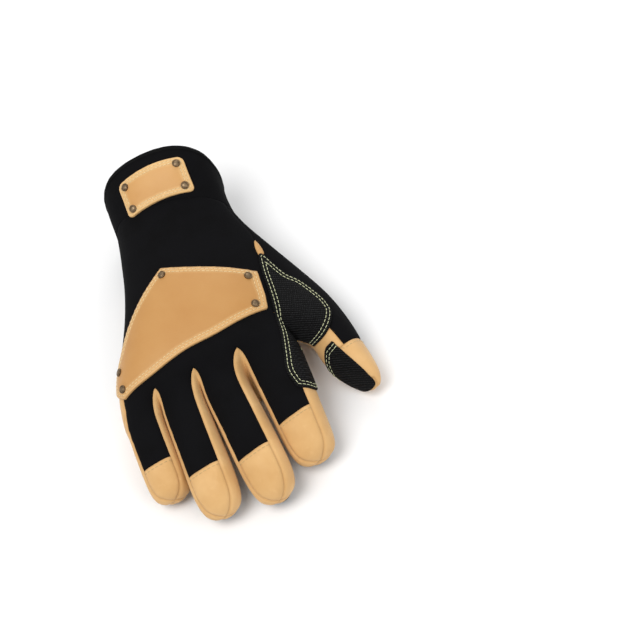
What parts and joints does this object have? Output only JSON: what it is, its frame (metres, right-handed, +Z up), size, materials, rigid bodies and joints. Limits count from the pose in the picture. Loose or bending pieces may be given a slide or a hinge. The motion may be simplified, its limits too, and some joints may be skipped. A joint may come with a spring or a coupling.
{
  "type": "insulated leather work glove",
  "caption": "Insulated right-hand work glove with padded black back, tan leather palm, riveted knuckle and cuff patches, grip pads and a pull loop, lying on its palm.",
  "frame": {"origin": "on the flat of the palm that rests on the floor, under the middle of the palm", "axes": "+Z up through the back of the hand, +Y towards the cuff, -Y towards the fingertips, +X towards the thumb"},
  "size_m": [0.1671, 0.2603, 0.0743],
  "materials": {
    "softshell": "matt black padded softshell",
    "tan_leather": "matt light tan work leather",
    "burnished_leather": "satin orange-brown leather, lighter at its edges",
    "grip_fabric": "matt black textured grip fabric",
    "tan_webbing": "matt tan strap, stitched along its edges",
    "binding_tape": "matt black woven tape",
    "antique_brass": "aged, dull, worn at the rim"
  },
  "bodies": {
    "root": {"cuff": "softshell", "back_panel": "softshell", "thumb_back": "softshell", "palm_panel": "tan_leather", "thumb_palm": "tan_leather", "fourchette_index_middle": "tan_leather", "fourchette_middle_ring": "tan_leather", "fourchette_ring_pinky": "tan_leather", "index_side": "tan_leather", "pinky_side": "tan_leather", "index_cap": "tan_leather", "middle_cap": "tan_leather", "ring_cap": "tan_leather", "pinky_cap": "tan_leather", "thumb_cap": "tan_leather", "web_gusset": "tan_leather", "knuckle_patch": "burnished_leather", "cuff_patch": "burnished_leather", "web_patch": "grip_fabric", "index_pad": "grip_fabric", "middle_pad": "grip_fabric", "ring_pad": "grip_fabric", "pinky_pad": "grip_fabric", "thumb_pad": "grip_fabric", "pull_strap": "tan_webbing", "rim_binding": "binding_tape", "knuckle_rivet_1": "antique_brass", "knuckle_rivet_2": "antique_brass", "knuckle_rivet_3": "antique_brass", "knuckle_rivet_4": "antique_brass", "knuckle_rivet_5": "antique_brass", "cuff_rivet_1": "antique_brass", "cuff_rivet_2": "antique_brass", "cuff_rivet_3": "antique_brass", "cuff_rivet_4": "antique_brass"}
  },
  "joints": []
}
